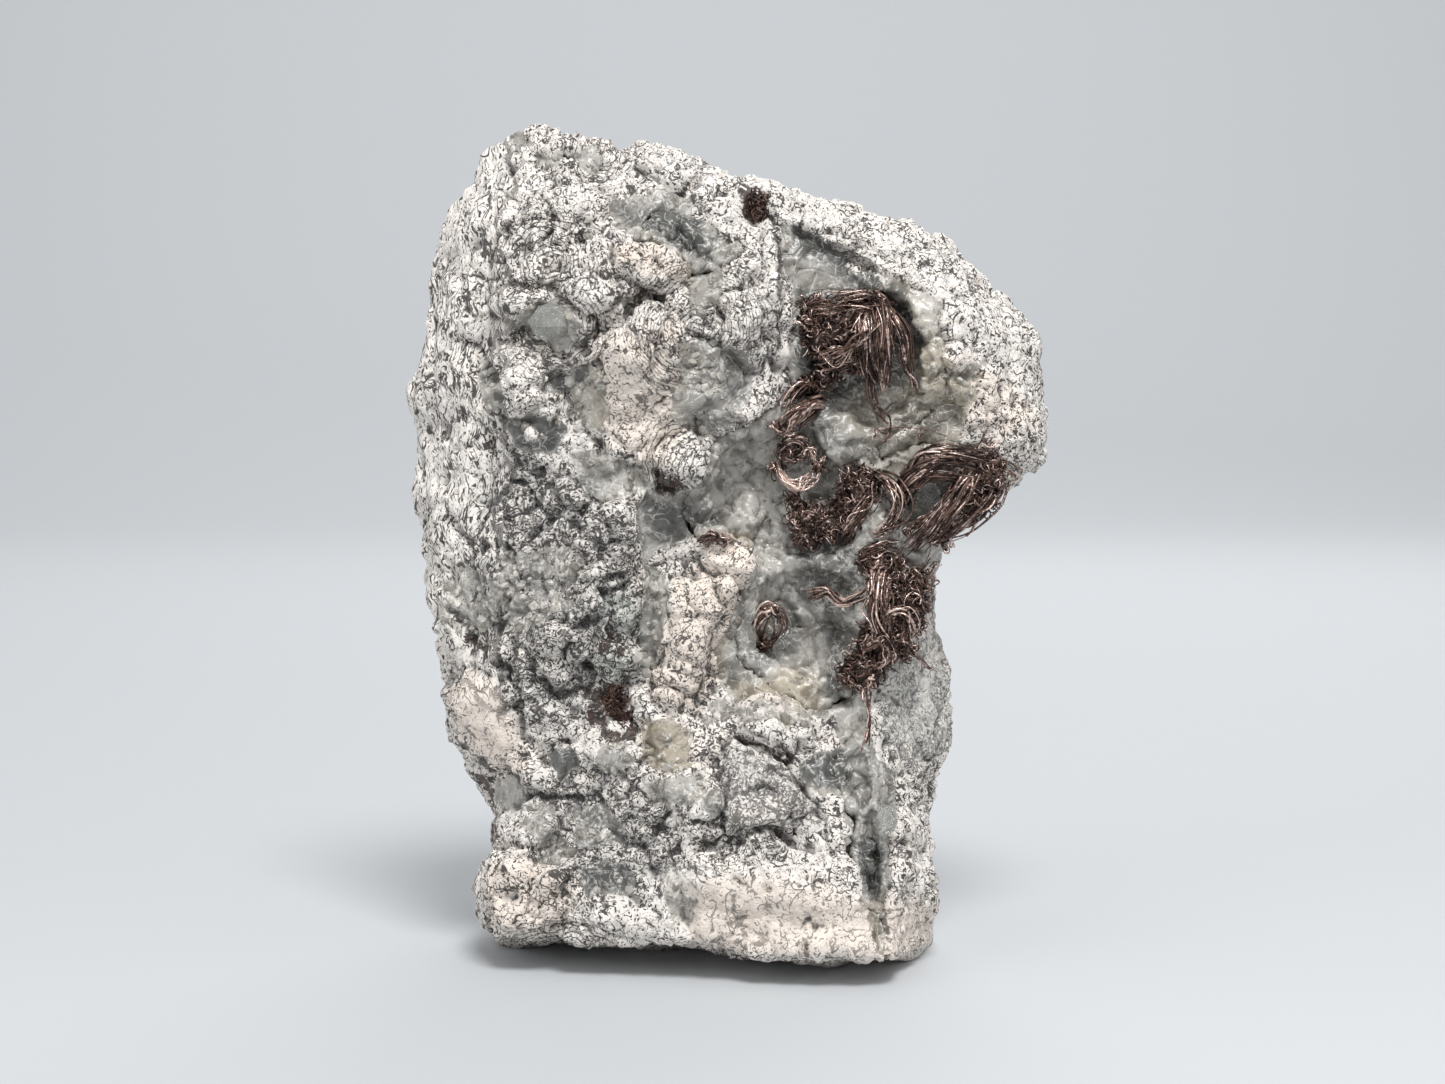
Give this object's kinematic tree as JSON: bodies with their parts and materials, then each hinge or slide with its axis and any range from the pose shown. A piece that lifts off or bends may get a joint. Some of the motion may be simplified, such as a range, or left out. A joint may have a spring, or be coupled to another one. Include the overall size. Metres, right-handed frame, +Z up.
{
  "type": "native silver specimen",
  "caption": "Craggy white calcite block with a grey quartz-lined hollow that holds tarnished wire silver, standing on its flat foot.",
  "frame": {"origin": "middle of the specimen's box on the level of its foot", "axes": "+Z up, -Y towards the face with the silver, +X to that face's right"},
  "size_m": [0.0702, 0.0444, 0.0905],
  "materials": {
    "calcite": "matt, finely pitted",
    "quartz": "glassy, grey and half clear",
    "clear_quartz": "glassy, nearly clear",
    "tarnished_silver": "dark brown tarnish with brighter edges"
  },
  "bodies": {
    "root": {"calcite_matrix": "calcite", "quartz_crust": "quartz", "quartz_patch_top": "quartz", "quartz_seam": "quartz", "clear_crystal_left": "clear_quartz", "clear_crystal_right": "clear_quartz", "clear_crystal_lower": "clear_quartz", "silver_top_tuft": "tarnished_silver", "silver_horn": "tarnished_silver", "silver_small_curl": "tarnished_silver", "silver_u_curl": "tarnished_silver", "silver_center_mat": "tarnished_silver", "silver_hook": "tarnished_silver", "silver_right_band": "tarnished_silver", "silver_lower_cluster": "tarnished_silver", "silver_ring": "tarnished_silver", "silver_column_curl": "tarnished_silver", "silver_patch_low": "tarnished_silver", "silver_patch_top": "tarnished_silver"}
  },
  "joints": []
}
